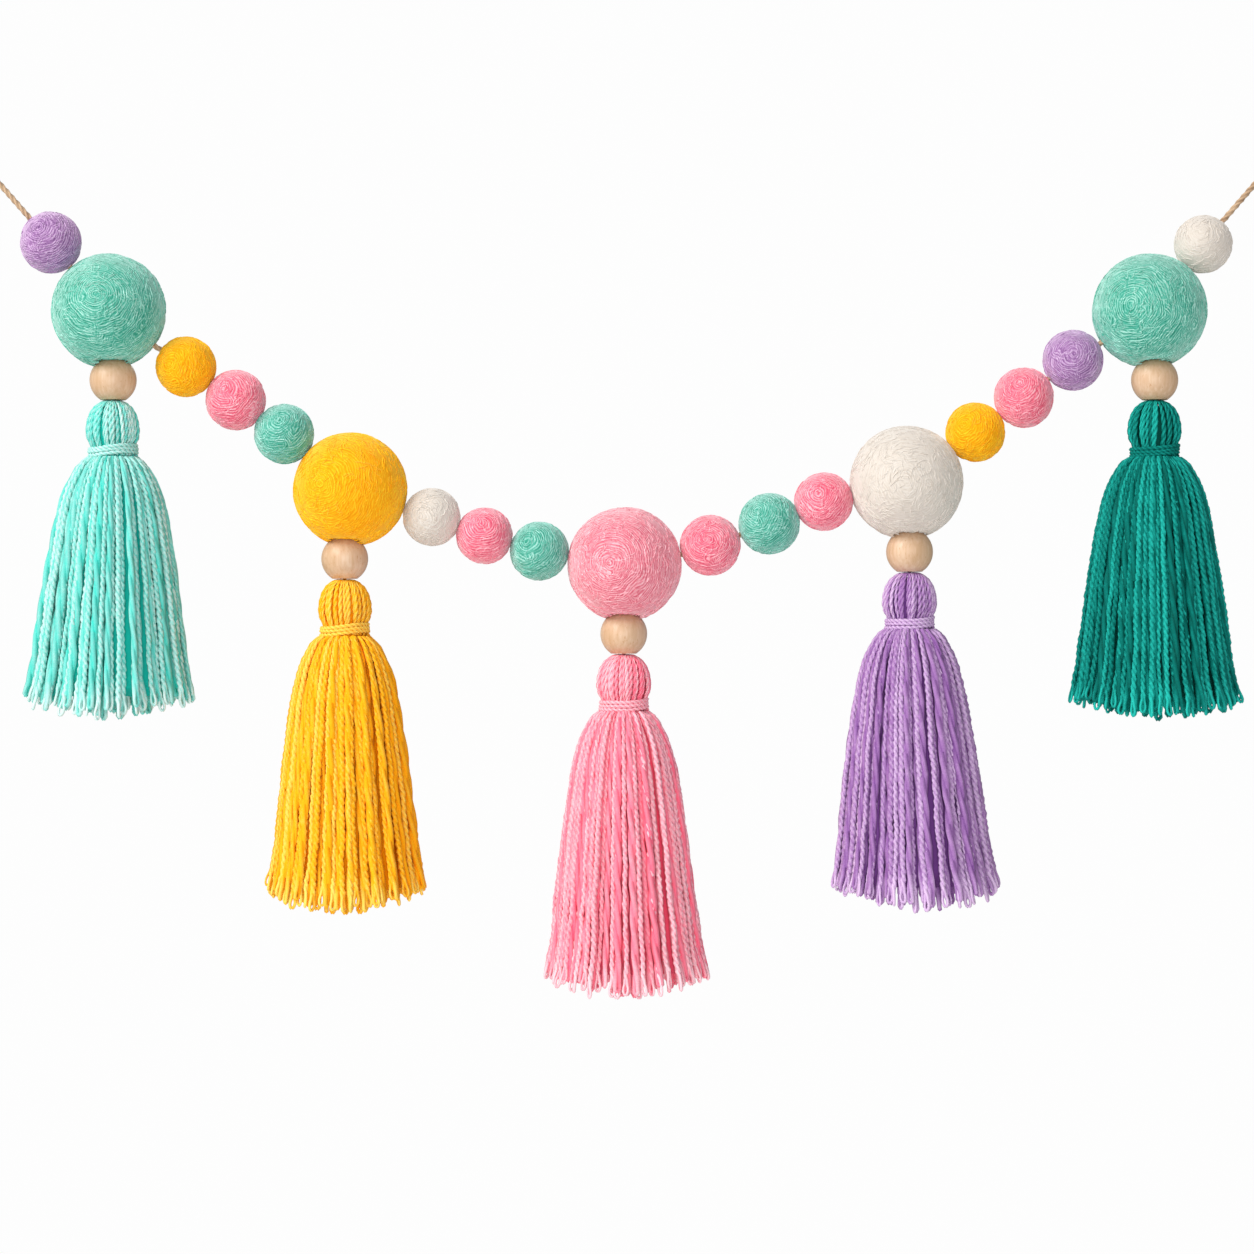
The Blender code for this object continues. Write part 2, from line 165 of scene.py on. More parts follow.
# Every material ends the same way: inputs of its shader, by name.
def endMaterial(material, inputs):
    tree = material.node_tree
    connect(tree, tree.nodes["Principled BSDF"], inputs)
    return material


def setRamp(ramp, places, colours):
    stops = ramp.color_ramp.elements
    stops[0].position, stops[-1].position = places[0], places[-1]
    for position in places[1:-1]:
        stops.new(position)
    for stop, colour in zip(stops, colours):
        stop.color = toLinear(colour)
    return ramp


def setCurve(node, points):
    curve = node.mapping.curves[0]
    curve.points[0].location, curve.points[-1].location = points[0], points[-1]
    for point in points[1:-1]:
        curve.points.new(*point)
    node.mapping.update()
    return node


# A new Geometry Nodes tree, what adds its nodes, and its inputs, which are typed by value or else by name.
def newTree(name, inputs):
    tree = bpy.data.node_groups.new(name, "GeometryNodeTree")
    tree.interface.new_socket("Geometry", in_out="OUTPUT", socket_type="NodeSocketGeometry")
    kinds = {int: "Int", float: "Float", tuple: "Vector"}
    for label, value in inputs.items():
        kind = kinds.get(type(value), label)
        socket = tree.interface.new_socket(label, in_out="INPUT", socket_type="NodeSocket" + kind)
        if value is not None:
            socket.default_value = value
    return tree, partial(addNode, tree), tree.nodes.new("NodeGroupInput").outputs


# Every tree ends the same way: realized, with its material.
def endTree(add, geometry, material, smooth=True):
    if smooth:
        geometry = add("SetShadeSmooth", {"Geometry": geometry})
    realized = add("RealizeInstances", {"Geometry": geometry})
    painted = add("SetMaterial", {"Geometry": realized, "Material": material})
    add("GroupOutput", {"Geometry": painted})


def addObject(name, data):
    thing = bpy.data.objects.new(name, data)
    bpy.context.scene.collection.objects.link(thing)
    return thing


# Runs a tree on a host mesh and leaves one plain mesh object.
def growPiece(name, tree, values, host=None):
    piece = addObject(name, host or bpy.data.meshes.new(name + "Host"))
    modifier = piece.modifiers.new("grown", "NODES")
    modifier.node_group = tree
    for socket in tree.interface.items_tree:
        if socket.in_out == "INPUT" and socket.name in values:
            modifier[socket.identifier] = values[socket.name]
    depsgraph = bpy.context.evaluated_depsgraph_get()
    grown = bpy.data.meshes.new_from_object(piece.evaluated_get(depsgraph))
    grown.name = name
    piece.modifiers.remove(modifier)
    piece.data = grown
    return piece


def settle(piece, slot, *nodes):
    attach(piece, "root")
    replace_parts(piece, *nodes)


def toMesh(name, bm):
    mesh = bpy.data.meshes.new(name)
    bm.to_mesh(mesh)
    bm.free()
    return mesh


# A point beside an axis, with its radius, height and shift to the right in mm.
def beside(axis, radius, turn, height, shift=0.0):
    return axis + Vector((shift + radius * math.cos(turn), radius * math.sin(turn), height)) * mm


# A mesh of bare edges, one chain for each list of points, with the yarn's thickness there as "fat".
def edgeChains(name, chains, fat=None, closed=False):
    points = [tuple(point) for chain in chains for point in chain]
    edges, first = [], 0
    for chain in chains:
        edges += [(first + i, first + i + 1) for i in range(len(chain) - 1)]
        if closed:
            edges.append((first + len(chain) - 1, first))
        first += len(chain)
    mesh = bpy.data.meshes.new(name)
    mesh.from_pydata(points, edges, [])
    thickness = mesh.attributes.new("fat", "FLOAT", "POINT")
    thickness.data.foreach_set("value", [1.0] * len(points) if fat is None else list(fat))
    return mesh


# Camera at the photo's angle: level, in front of the middle of the frame.
view = {"lens": 100, "sensor": 36, "place": (0.2315, -1.191, -0.171)}  # mm, mm, m
camera = addObject("camera", bpy.data.cameras.new("camera"))
camera.data.lens, camera.data.sensor_width = view["lens"], view["sensor"]
camera.location = view["place"]
camera.rotation_euler = (math.radians(90), 0, 0)
bpy.context.scene.camera = camera

studio = {
    "sky": 0.38,
    "backdrop": 0.985,
    "aim": (0.2315, 0, -0.17),
    "floorPlace": (0.2315, 0, -0.62),
    "floorRadius": 0.95,
    # name: place, size in m, watts, colour
    "lights": {
        "key": ((-1.0, -0.85, 1.0), 1.0, 31.0, "fffdfa"),
        "front": ((0.2, -2.2, -0.1), 0.9, 20.0, "ffffff"),
        "fill": ((1.35, -1.3, 0.1), 1.2, 0.6, "f4f7ff"),
        "back": ((0.3, 1.4, 0.9), 1.0, 9.0, "ffffff"),
    },
}


def makeStudio():
    scene = bpy.context.scene
    scene.view_settings.view_transform = "Standard"
    scene.world = bpy.data.worlds.new("studio")
    scene.world.use_nodes = True
    scene.world.node_tree.nodes.clear()
    add = partial(addNode, scene.world.node_tree)
    lit, backdrop = [
        add("Background", {"Color": (1, 1, 1, 1), "Strength": studio[label]}) for label in ("sky", "backdrop")
    ]
    seen = add("LightPath").outputs["Is Camera Ray"]
    add("OutputWorld", {"Surface": add("MixShader", [seen, lit, backdrop])})
    for name, (spot, size, watts, colour) in studio["lights"].items():
        lamp = addObject(name, bpy.data.lights.new(name, "AREA"))
        lamp.data.size, lamp.data.energy, lamp.data.color = size, watts, toLinear(colour)[:3]
        lamp.location = spot
        lamp.rotation_euler = (Vector(studio["aim"]) - lamp.location).to_track_quat("-Z", "Y").to_euler()
    bm = bmesh.new()
    bmesh.ops.create_circle(bm, cap_ends=True, segments=96, radius=studio["floorRadius"])
    bmesh.ops.translate(bm, vec=studio["floorPlace"], verts=bm.verts)
    mesh = toMesh("floor", bm)
    # Matt white paint, rolled, so it gives only a soft pale ground.
    paint, _ = newMaterial("paintedBoard")
    mesh.materials.append(endMaterial(paint, {"Base Color": toLinear("f4f2ef"), "Roughness": 0.9}))
    addObject("floor", mesh)


makeStudio()
print("studio ready")

# Jute twine, three strands laid together. Lengths are in mm, here and below.
twine = {
    "diameter": 2.1,
    "lay": 8.1,  # mm for one full turn of a strand, so a mark shows every 2.7 mm
    "strandDepth": 0.13,
    "curvePoints": 40,  # from one ball to the next, before they are spaced evenly
    "step": 0.62,
    "loopLength": 20.0,
    "loopWidth": 8.0,
    "loopTaper": (1.25, 0.6),  # width at the nail, of loopWidth, and how much less at the knot
    "loopPoints": 72,
    "knotLength": 6.4,
    "knotTurns": 2.4,
    "knotStart": 0.1,
    "knotTurnRadius": 1.5,
    "knotPoints": 96,
    # The darkest tone shows mostly in the grooves between strands, as painted shade.
    "tones": ("7f6047", "c4a280", "ead6bb"),  # grooves, body and ridges
    "fadedTone": "d9bb98",
}


# How far along their line the points are.
def distances(points):
    return np.concatenate([[0.0], np.cumsum(np.linalg.norm(np.diff(points, axis=0), axis=1))])


# A smooth curve through its stops, as evenly spaced points, and its length.
def smoothRoute(stops, step):
    stops = np.array([tuple(stop) for stop in stops])
    knots = distances(stops)
    slopes = np.gradient(stops, knots, axis=0)
    fine = []
    for i in range(len(stops) - 1):
        span = knots[i + 1] - knots[i]
        for u in np.linspace(0, 1, twine["curvePoints"], endpoint=False):
            start = (1 + 2 * u) * (1 - u) ** 2 * stops[i] + u * (1 - u) ** 2 * span * slopes[i]
            end = u * u * (3 - 2 * u) * stops[i + 1] + u * u * (u - 1) * span * slopes[i + 1]
            fine.append(start + end)
    fine = np.array([*fine, stops[-1]])
    lengths = distances(fine)
    even = np.linspace(0, lengths[-1], int(lengths[-1] / step))
    return np.stack([np.interp(even, lengths, fine[:, axis]) for axis in range(3)], axis=1), lengths[-1]


# Jute: spun from long woody bast fibres, so it is matt tan and streaked, with painted shade in its grooves.
def juteMaterial():
    material, add = newMaterial("laidJuteTwine")
    coords = add("TexCoord").outputs["Object"]
    ridge = add("Attribute", attribute_name="ridge").outputs["Fac"]
    streaks = add("TexNoise", {"Vector": coords, "Scale": 1 / (0.7 * mm), "Detail": 3.0})
    blotches = add("TexNoise", {"Vector": coords, "Scale": 1 / (5 * mm), "Detail": 2.0})
    # Painted shade: the ridge value falls to 0 in the grooves between strands and darkens the tone there.
    shade = add("Math", [ridge, streaks], "MULTIPLY")
    ramp = setRamp(add("ValToRGB", [shade]), (0.0, 0.45, 1.0), twine["tones"])
    faded = add("MapRange", {"Value": blotches, "From Min": 0.35, "From Max": 0.7, "To Max": 0.5})
    tint = add("Mix", {"Factor": faded, "A": ramp, "B": toLinear(twine["fadedTone"])}, data_type="RGBA")
    bump = add("Bump", {"Height": streaks, "Strength": 0.5, "Distance": 0.1 * mm})
    return endMaterial(material, {"Base Color": tint, "Normal": bump, "Roughness": 0.9, "Sheen Weight": 0.2})


def twineTree():
    tree, add, given = newTree("laidTwine", {
        "Geometry": None, "Radius": twine["diameter"] / 2 * mm, "Lay": twine["lay"] * mm, "Strands": 3,
        "Strand depth": twine["strandDepth"], "Material": None,
    })
    sides = 12
    curve = add("MeshToCurve", {"Mesh": given["Geometry"]})
    turns = add("Math", [add("SplineParameter").outputs["Length"], given["Lay"]], "DIVIDE")
    tilt = add("Math", [turns, fullTurn], "MULTIPLY")
    tilted = add("SetCurveTilt", {"Curve": curve, "Tilt": tilt})
    # A round section with one lobe for each strand.
    ring = add("CurvePrimitiveCircle", {"Resolution": sides, "Radius": 1.0})
    step = add("Math", [add("InputIndex"), given["Strands"]], "MULTIPLY")
    wave = add("Math", [add("Math", [step, fullTurn / sides], "MULTIPLY")], "COSINE")
    grown = add("Math", [wave, given["Strand depth"], 1 - twine["strandDepth"]], "MULTIPLY_ADD")
    lobed = add("VectorMath", [add("InputPosition"), grown], "SCALE")
    lobes = add("SetPosition", {"Geometry": ring, "Position": lobed})
    ridge = add("Math", [wave, 0.5, 0.5], "MULTIPLY_ADD")
    marked = add("StoreNamedAttribute", {"Geometry": lobes, "Name": "ridge", "Value": ridge})
    tube = add("CurveToMesh", {
        "Curve": tilted, "Profile Curve": marked, "Scale": given["Radius"], "Fill Caps": True,
    })
    endTree(add, tube, given["Material"])
    return tree


def makeTwine():
    values = {"Material": juteMaterial()}
    tree = twineTree()
    centres = [place(across, drop) for _, _, _, across, drop in feltBalls]
    nails = (Vector((0, 0, 0)), Vector((2 * halfSpan * mm, 0, 0)))
    ends, loops = [], []
    for side, nail, neighbour in (("left", nails[0], centres[0]), ("right", nails[1], centres[-1])):
        inward = (neighbour - nail).normalized()
        ends.append(nail + inward * (twine["loopLength"] + twine["knotLength"] / 2 + gap) * mm)
        loops += makeHangingLoop(side, nail, inward, tree, values)
    route, length = smoothRoute([ends[0], *centres, ends[1]], twine["step"] * mm)
    cord = growPiece("juteTwine", tree, values, edgeChains("twineLine", [route]))
    settle(cord, "jute", "twine")
    print(f"twine {length:.4f} m")


# A teardrop eye that bears on its nail, closed by a knot of two turns and a bit.
def makeHangingLoop(side, nail, inward, tree, values):
    across = Vector((inward.z, 0, -inward.x))
    radius = twine["diameter"] / 2
    crown = nail - inward * radius * mm
    length, width = (twine["loopLength"] + radius) * mm, twine["loopWidth"] * mm
    widest, less = twine["loopTaper"]
    eye = []
    for i in range(twine["loopPoints"]):
        turn = fullTurn * i / twine["loopPoints"]
        share = (1 - math.cos(turn)) / 2
        eye.append(crown + inward * length * share
                   + across * width / 2 * math.sin(turn) * (widest - less * share))
    middle = nail + inward * twine["loopLength"] * mm
    coil = []
    for share in np.linspace(0, 1, twine["knotPoints"]):
        turn = fullTurn * (twine["knotTurns"] * share + twine["knotStart"])
        along = (share - 0.5) * (twine["knotLength"] - twine["diameter"] * 0.9)
        ring = across * math.cos(turn) + Vector((0, 1, 0)) * math.sin(turn)
        coil.append(middle + inward * along * mm + ring * twine["knotTurnRadius"] * mm)
    pieces = [
        growPiece(f"hangingLoop_{side}", tree, values, edgeChains("loopLine", [eye], closed=True)),
        growPiece(f"loopKnot_{side}", tree, values, edgeChains("knotLine", [coil])),
    ]
    for piece in pieces:
        settle(piece, "jute", f"hanging_loop_{side}")
    return pieces


makeTwine()
print("twine, loops and knots ready")

# Felt: darkest, middle and lightest tone of each wool.
feltTones = {
    "lilac": ("674277", "9d71a7", "dbbee1"),
    "mint": ("127a63", "48aa94", "b4e6da"),
    "yellow": ("ea8e00", "f7a700", "fed02a"),
    "pink": ("cc3d5d", "e96c84", "ffc6d0"),
    "rose": ("c74e67", "e27a8c", "fdced6"),
    "teal": ("1c7d66", "4ba994", "b3e7dd"),
    "white": ("c9bfb3", "d6cdc3", "dfd9d2"),
}
felt = {
    "fibresPerCm2": 38.0,
    "fibreLength": (2.0, 3.8),
    "fibreWidth": 0.34,
    "lift": (0.02, 0.11),
    "dive": 5.5,  # how fast a fibre sinks to both sides of its middle
    "bend": 1.3,
    "swirl": 5.5,
    "whorl": 0.3,  # how strongly the fibres circle their ball's axis
    "axisSway": 0.25,  # how far that axis turns from ball to ball
    "axisRates": (2.1, 1.7),
    "axisLean": (-0.3, 0.25),  # to the right and up, from straight at the viewer
    "bumpSize": 11.0,
    "unevenness": 0.22,
    "grown": 0.28,  # mm added all round, so that the fuzz of neighbours meets
    "draws": {
        "reach": ("Shortest", "Longest"), "lift": ("Lowest lift", "Highest lift"), "bend": (-1.0, 1.0),
        "tone": (0.0, 1.0), "stray": (-0.25, 0.25),
    },
}


# Wool felt: fibres rolled wet into a firm ball, so it is matt and whorled, with a painted sheen that makes it
# paler at the rim, where the fuzz catches light.
def feltMaterial(name):
    light = toLinear(feltTones[name][-1])
    material, add = newMaterial(f"rolledWoolFelt_{name}")
    coords = add("TexCoord").outputs["Object"]
    tone, arc = [add("Attribute", attribute_name=label).outputs["Fac"] for label in ("tone", "arc")]
    # Fibres pressed flat in the skin are lines 0.36 mm wide, bent by swirls about 8 mm across. Most of them run
    # in whorls round the ball's own axis, and in some patches they run up the ball.
    swirl = add("TexNoise", {"Vector": coords, "Scale": 1 / (8 * mm), "Detail": 1.0}).outputs["Color"]
    pull = add("VectorMath", [swirl, (0.5, 0.5, 0.5)], "SUBTRACT")
    bent = add("VectorMath", [add("VectorMath", [pull, 11 * mm], "SCALE"), coords], "ADD")
    rings = add("CombineXYZ", [arc])
    ringed = add("VectorMath", [add("VectorMath", [pull, 4 * mm], "SCALE"), rings], "ADD")
    lines = []
    for course, stretch in ((ringed, (1, 1, 1)), (bent, (1, 1, 0.14))):
        drawn = add("Mapping", {"Vector": course, "Scale": stretch})
        streak = add("TexNoise", {"Vector": drawn, "Scale": 1 / (0.36 * mm), "Detail": 2.0})
        # A wave repeats every 0.314 of its own unit, so these crimps are 0.8 mm apart.
        crimped = add("TexWave", {
            "Vector": course, "Scale": 0.314 / (0.8 * mm), "Distortion": 4.0, "Detail": 1.0,
            "Detail Scale": 1.6,
        }, wave_type="BANDS", bands_direction="X").outputs["Fac"]
        clear = add("MapRange", {"Value": streak, "From Min": 0.32, "From Max": 0.68})
        lines.append(add("Mix", {"Factor": 0.45, "A": clear, "B": crimped}))
    patches, fine, broad = [
        add("TexNoise", {"Vector": coords, "Scale": 1 / (size * mm), "Detail": detail})
        for size, detail in ((5, 1.0), (0.5, 3.0), (9, 2.0))
    ]
    turned = add("MapRange", {"Value": patches, "From Min": 0.54, "From Max": 0.66})
    whorls = add("Mix", {"Factor": turned, "A": lines[0], "B": lines[1]})
    skin = add("Math", [whorls, 0.68, add("Math", [fine, 0.24], "MULTIPLY")], "MULTIPLY_ADD")
    patch = add("Math", [add("Math", [broad, 0.5], "SUBTRACT"), 0.2, skin], "MULTIPLY_ADD")
    shade = add("Math", [tone, 0.36, patch], "MULTIPLY_ADD")
    ramp = setRamp(add("ValToRGB", [shade]), (0.1, 0.42, 0.85), feltTones[name])
    # Painted sheen: where the surface is seen edge on, at the rim of a ball, its colour is mixed towards a pale
    # tone, for the fuzz standing off the skin.
    edge = add("LayerWeight", {"Blend": 0.35}).outputs["Facing"]
    paintedRimSheen = add("MapRange", {"Value": edge, "From Min": 0.22, "From Max": 0.85, "To Max": 0.65})
    rimSheenPainted = add("Mix", {"Factor": paintedRimSheen, "A": ramp, "B": [c ** 0.6 for c in light]}, data_type="RGBA")
    relief = add("Math", [fine, 0.6, whorls], "MULTIPLY_ADD")
    bump = add("Bump", {"Height": relief, "Strength": 0.38, "Distance": 0.15 * mm})
    return endMaterial(material, {
        "Base Color": rimSheenPainted, "Normal": bump, "Roughness": 0.95, "Specular IOR Level": 0.2,
        "Sheen Weight": 0.4, "Sheen Roughness": 0.5, "Sheen Tint": [0.12 + 0.88 * c for c in light],
    })


def feltTree():
    tree, add, given = newTree("feltFibres", {
        "Geometry": None, "Centre": (0, 0, 0), "Fibres per m2": felt["fibresPerCm2"] * 1e4,
        "Shortest": felt["fibreLength"][0] * mm, "Longest": felt["fibreLength"][1] * mm,
        "Width": felt["fibreWidth"] * mm, "Lowest lift": felt["lift"][0] * mm,
        "Highest lift": felt["lift"][1] * mm, "Bend": felt["bend"], "Swirl size": felt["swirl"] * mm,
        "Axis": (0, -1, 0), "Whorl": felt["whorl"], "Seed": 1, "Material": None,
    })
    scattered = add("DistributePointsOnFaces", {
        "Mesh": given["Geometry"], "Density": given["Fibres per m2"], "Seed": given["Seed"],
    })
    outward = scattered.outputs["Normal"]
    spot = add("InputPosition")
    # Neighbouring fibres lie nearly the same way: round the ball's axis, bent by swirls as wide as Swirl size.
    frequency = add("Math", [1.0, given["Swirl size"]], "DIVIDE")
    shifted = add("VectorMath", [spot, (0.1, 0.2, 0.3)], "ADD")
    field = add("TexNoise", {"Vector": shifted, "Scale": frequency, "Detail": 1.0}).outputs["Color"]
    level = add("VectorMath", [field, (0.5, 0.5, 0.5)], "SUBTRACT")
    circling = add("VectorMath", [given["Axis"], given["Whorl"]], "SCALE")
    mainly = add("VectorMath", [level, circling], "ADD")
    heading = add("VectorMath", [add("VectorMath", [outward, mainly], "CROSS_PRODUCT")], "NORMALIZE")
    draws = addDraws(add, given, 50.0, felt["draws"])
    astray = add("VectorRotate", {"Vector": heading, "Axis": outward, "Angle": draws["stray"]})
    kept = {**draws, "root": spot, "outward": outward, "heading": astray}
    marks = add("CaptureAttribute", {"Geometry": scattered.outputs["Points"]}, keep=kept).outputs
    toned = add("StoreNamedAttribute", {
        "Geometry": marks["Geometry"], "Name": "tone",
        "Value": add("Math", [draws["tone"], 0.7], "MULTIPLY"),
    })
    line = add("ResampleCurve", {"Curve": add("CurvePrimitiveLine"), "Count": 4})
    middle = add("Math", [add("SplineParameter").outputs["Factor"], 0.5], "SUBTRACT")
    measured = add("CaptureAttribute", {"Geometry": line}, keep={"along": middle}).outputs
    planted = add("InstanceOnPoints", {"Points": toned, "Instance": measured["Geometry"]})
    fibres = add("RealizeInstances", {"Geometry": planted})
    along = measured["along"]
    distance = add("Math", [along, marks["reach"]], "MULTIPLY")
    square = add("Math", [along, along], "MULTIPLY")
    curl = add("Math", [marks["bend"], given["Bend"]], "MULTIPLY")
    swing = add("Math", [add("Math", [square, marks["reach"]], "MULTIPLY"), curl], "MULTIPLY")
    sideways = add("VectorMath", [marks["outward"], marks["heading"]], "CROSS_PRODUCT")
    fromCentre = add("VectorMath", [marks["root"], given["Centre"]], "SUBTRACT")
    run = add("VectorMath", [marks["heading"], distance], "SCALE")
    turn = add("VectorMath", [sideways, swing], "SCALE")
    flat = add("VectorMath", [add("VectorMath", [fromCentre, run], "ADD"), turn], "ADD")
    # Pulled back to the ball: the middle of a fibre stands proud and its ends dive into the felt.
    arch = add("Math", [square, -felt["dive"], 1.0], "MULTIPLY_ADD")
    ground = add("VectorMath", [fromCentre], "LENGTH")
    height = add("Math", [arch, marks["lift"], ground], "MULTIPLY_ADD")
    seated = add("VectorMath", [add("VectorMath", [flat], "NORMALIZE"), height], "SCALE")
    standing = add("VectorMath", [seated, given["Centre"]], "ADD")
    laid = add("SetPosition", {"Geometry": fibres, "Position": standing})
    halfWidth = add("Math", [given["Width"], 0.5], "MULTIPLY")
    tubes = addTubes(add, laid, 3, halfWidth)
    facets = add("SetShadeSmooth", {"Geometry": tubes, "Shade Smooth": False})
    joined = add("JoinGeometry", {"Geometry": facets})
    tree.links.new(given["Geometry"], joined.inputs["Geometry"])
    # Distance over the ball from its axis, for the streaks in the skin.
    local = add("VectorMath", [add("InputPosition"), given["Centre"]], "SUBTRACT")
    forward = add("VectorMath", [local, given["Axis"]], "DOT_PRODUCT")
    aside = add("VectorMath", [add("VectorMath", [local, given["Axis"]], "CROSS_PRODUCT")], "LENGTH")
    reach = add("VectorMath", [local], "LENGTH")
    arc = add("Math", [add("Math", [aside, forward], "ARCTAN2"), reach], "MULTIPLY")
    mapped = add("StoreNamedAttribute", {"Geometry": joined, "Name": "arc", "Value": arc})
    endTree(add, mapped, given["Material"], smooth=False)
    return tree


beadSeat = {"height": 16.82, "halfWidth": 4.4, "softness": 1.2, "rounding": 0.12}  # mm, below the ball's middle


# The body of a ball under its loose fibres: a little uneven, and pressed in where a bead sits.
def feltBody(name, centre, radius, seatX=None):
    bm = bmesh.new()
    bmesh.ops.create_icosphere(bm, subdivisions=5 if seatX is not None else 4, radius=1.0)
    for vertex in bm.verts:
        direction = vertex.co.copy()
        bumpy = noise.noise((direction * radius + centre) / (felt["bumpSize"] * mm)) * felt["unevenness"] * mm
        vertex.co = direction * (radius + bumpy)
        if seatX is not None and vertex.co.z < 0:
            # Pressed up over the bead, and in front of it and behind it, so that the bead's top edge shows.
            aside = max(0, abs(vertex.co.x - seatX) - beadSeat["halfWidth"] * mm)
            floor = -(beadSeat["height"] * mm + aside * aside / (beadSeat["softness"] * mm))
            over = floor - vertex.co.z
            vertex.co.z += 0.5 * (over + math.hypot(over, beadSeat["rounding"] * mm))
        vertex.co += centre
    mesh = toMesh(name, bm)
    mesh.shade_smooth()
    return mesh


def makeBalls():
    tree = feltTree()
    wools = {name: feltMaterial(name) for name in feltTones}
    offsets = {ball: offset for _, _, ball, offset, *_ in tassels}
    aside, up = felt["axisLean"]
    for order, (name, wool, diameter, across, drop) in enumerate(feltBalls):
        centre = place(across, drop)
        radius = (diameter / 2 + felt["grown"]) * mm
        seatX = offsets[name] * mm if name in offsets else None
        swing, nod = (rate * order for rate in felt["axisRates"])
        axis = Vector((felt["axisSway"] * math.sin(swing) + aside, -1, felt["axisSway"] * math.cos(nod) + up))
        ball = growPiece("felt_" + name, tree, {
            "Centre": centre, "Axis": axis.normalized(), "Seed": 100 + order, "Material": wools[wool],
        }, feltBody(name + "Body", centre, radius, seatX))
        settle(ball, wool + "_felt", name)


makeBalls()
print("felt balls ready")

# Beads of the size that the source gives them, with tones from the grain's dark lines to its pale ones.
bead = {
    "segments": 56,
    "outlinePoints": 25,
    "boreEdge": (0.25, 0.3),  # mm across and up
    "tones": ("c49d75", "d3b08f", "e0c6aa"),
    "fleckTone": "c2946a",
}


# Beech: turned on a lathe, sanded and left plain or lightly oiled.
def beechMaterial():
    material, add = newMaterial("turnedBeech")
    coords = add("TexCoord").outputs["Object"]
    # Grain runs up the bead: lines about 1.1 mm apart across it and ten times as long, with short flecks.
    grainwise, fleckwise = [add("Mapping", {"Vector": coords, "Scale": (1, 1, along)}) for along in (0.1, 0.3)]
    grain = add("TexNoise", {"Vector": grainwise, "Scale": 1 / (1.1 * mm), "Detail": 4.0, "Roughness": 0.6})
    broad = add("TexNoise", {"Vector": grainwise, "Scale": 1 / (7 * mm), "Detail": 2.0})
    flecks = add("TexNoise", {"Vector": fleckwise, "Scale": 1 / (0.5 * mm), "Detail": 2.0})
    mixed = add("Math", [grain, 0.55, add("Math", [broad, 0.45], "MULTIPLY")], "MULTIPLY_ADD")
    ramp = setRamp(add("ValToRGB", [mixed]), (0.3, 0.5, 0.7), bead["tones"])
    dots = add("MapRange", {"Value": flecks, "From Min": 0.62, "From Max": 0.75})
    speckled = add("Mix", {"Factor": dots, "A": ramp, "B": toLinear(bead["fleckTone"])}, data_type="RGBA")
    bump = add("Bump", {"Height": grain, "Strength": 0.12, "Distance": 0.1 * mm})
    return endMaterial(material, {"Base Color": speckled, "Normal": bump, "Roughness": 0.42, "IOR": 1.5})


# Rings of points round an axis, from an outline of radius, height and shift. Where the radius is 0, one point.
def turnRings(bm, axis, outline, segments, rib=0.0):
    rings = []
    for radius, height, *shift in outline:
        turns = np.linspace(0, fullTurn, segments, endpoint=False) if radius else [0.0]
        spots = [beside(axis, radius + rib * (i % 2), turn, height, *shift) for i, turn in enumerate(turns)]
        rings.append([bm.verts.new(spot) for spot in spots])
    return rings


def makeBead(name, centre, wood):
    edge, segments = beadSize["edge"], bead["segments"]
    wide, deep = bead["boreEdge"]
    radius, half, bore = (beadSize[size] / 2 for size in ("diameter", "height", "bore"))
    limit = math.asin((half - edge * 0.6) / radius)
    angles = np.linspace(limit, -limit, bead["outlinePoints"])
    sphere = [(radius * math.cos(angle), radius * math.sin(angle)) for angle in angles]
    flat = sphere[0][0] - edge
    outline = [(bore + wide, half), (flat, half), (flat + edge * 0.6, half - edge * 0.15), *sphere,
               (flat + edge * 0.6, edge * 0.15 - half), (flat, -half), (bore + wide, -half),
               (bore, deep - half), (bore, half - deep)]
    bm = bmesh.new()
    rings = turnRings(bm, centre, outline, segments)
    for first, second in zip(rings, rings[1:] + rings[:1]):
        for i in range(segments):
            j = (i + 1) % segments
            bm.faces.new((first[i], first[j], second[j], second[i]))
    bmesh.ops.recalc_face_normals(bm, faces=bm.faces)
    mesh = toMesh(name, bm)
    mesh.shade_smooth()
    mesh.set_sharp_from_angle(angle=math.radians(60))
    mesh.materials.append(wood)
    return addObject(name, mesh)


# Yarn: deepest, middle and palest tone.
yarnTones = {
    "mint": ("1fcdbd", "78d4ca", "d4ece8"),
    "yellow": ("ffa000", "ffb61a", "ffdc6a"),
    "pink": ("ff6080", "fc8a9f", "ffced7"),
    "purple": ("7a4892", "a67ab6", "dcbfe4"),
    "green": ("004c44", "00736a", "22b8ab"),
}
skirt = {
    "sides": 4,
    "sideTrim": 5.0,  # mm that strands at both sides are shorter
    "layerStep": 1.0,
    "stray": 1.8,  # mm that the most astray strand hangs outside the rest
    "strayPower": 6.0,  # the higher, the fewer strands hang astray
    "bendLength": 14.0,
    "leanPower": 1.5,
    "reach": 25.0,
    # share of the skirt's length, and how far it spreads beyond the neck, of reach
    "outline": ((0, 0), (0.021, 0.1), (0.064, 0.194), (0.106, 0.268), (0.148, 0.316), (0.19, 0.356),
                (0.316, 0.436), (0.484, 0.524), (0.652, 0.6), (0.82, 0.688), (0.92, 0.775), (1.0, 0.83)),
    "thickness": ((0, 0.68), (0.1, 0.86), (0.3, 1.0), (0.5, 1.0), (1.0, 0.96)),
    # share of the tip loop's length from its end, and its width there
    "tipLoop": ((0, 0), (0.03, 0.35), (0.1, 0.7), (0.25, 0.98), (0.4, 1.0), (0.7, 0.55), (1.0, 0.1)),
    "draws": {
        "jitter": (-0.35, 0.35), "trim": ("Shortest trim", "Longest trim"), "phase": (-1.3, 1.3),
        "layer": (-0.7, 0.5), "kink": (0.0, 90.0), "fatness": (0.84, 1.1), "tone": (0.58, 0.98),
        "stray": (0.0, 1.0),
    },
}
